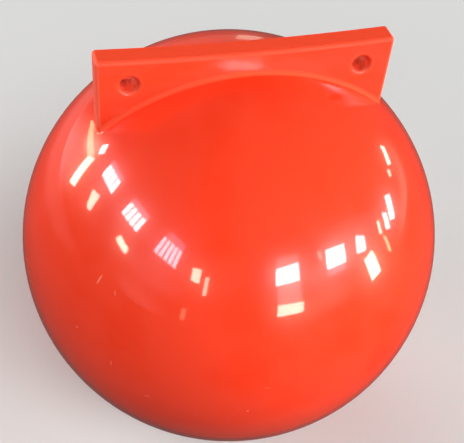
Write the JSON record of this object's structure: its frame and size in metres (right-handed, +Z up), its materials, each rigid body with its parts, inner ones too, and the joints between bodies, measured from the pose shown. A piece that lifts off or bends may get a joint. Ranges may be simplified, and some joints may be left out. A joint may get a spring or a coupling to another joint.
{
  "type": "mooring buoy float",
  "caption": "Sealed hard plastic ball float with a lug plate moulded across its top and a rope hole through each end of the plate.",
  "frame": {"origin": "midway between the two lug holes, on their axis level and on the plate's mid-plane, which is also the crown of the ball", "axes": "+Z up out of the ball through the lug plate, +X along the plate from hole to hole, +Y square to the plate, along the holes"},
  "size_m": [0.3, 0.3, 0.3179],
  "materials": {
    "orange_red_plastic": "glossy moulded ABS, self-coloured red-orange, faint flow marks and a few light scuffs"
  },
  "bodies": {
    "root": {"float_body": "orange_red_plastic"}
  },
  "joints": []
}
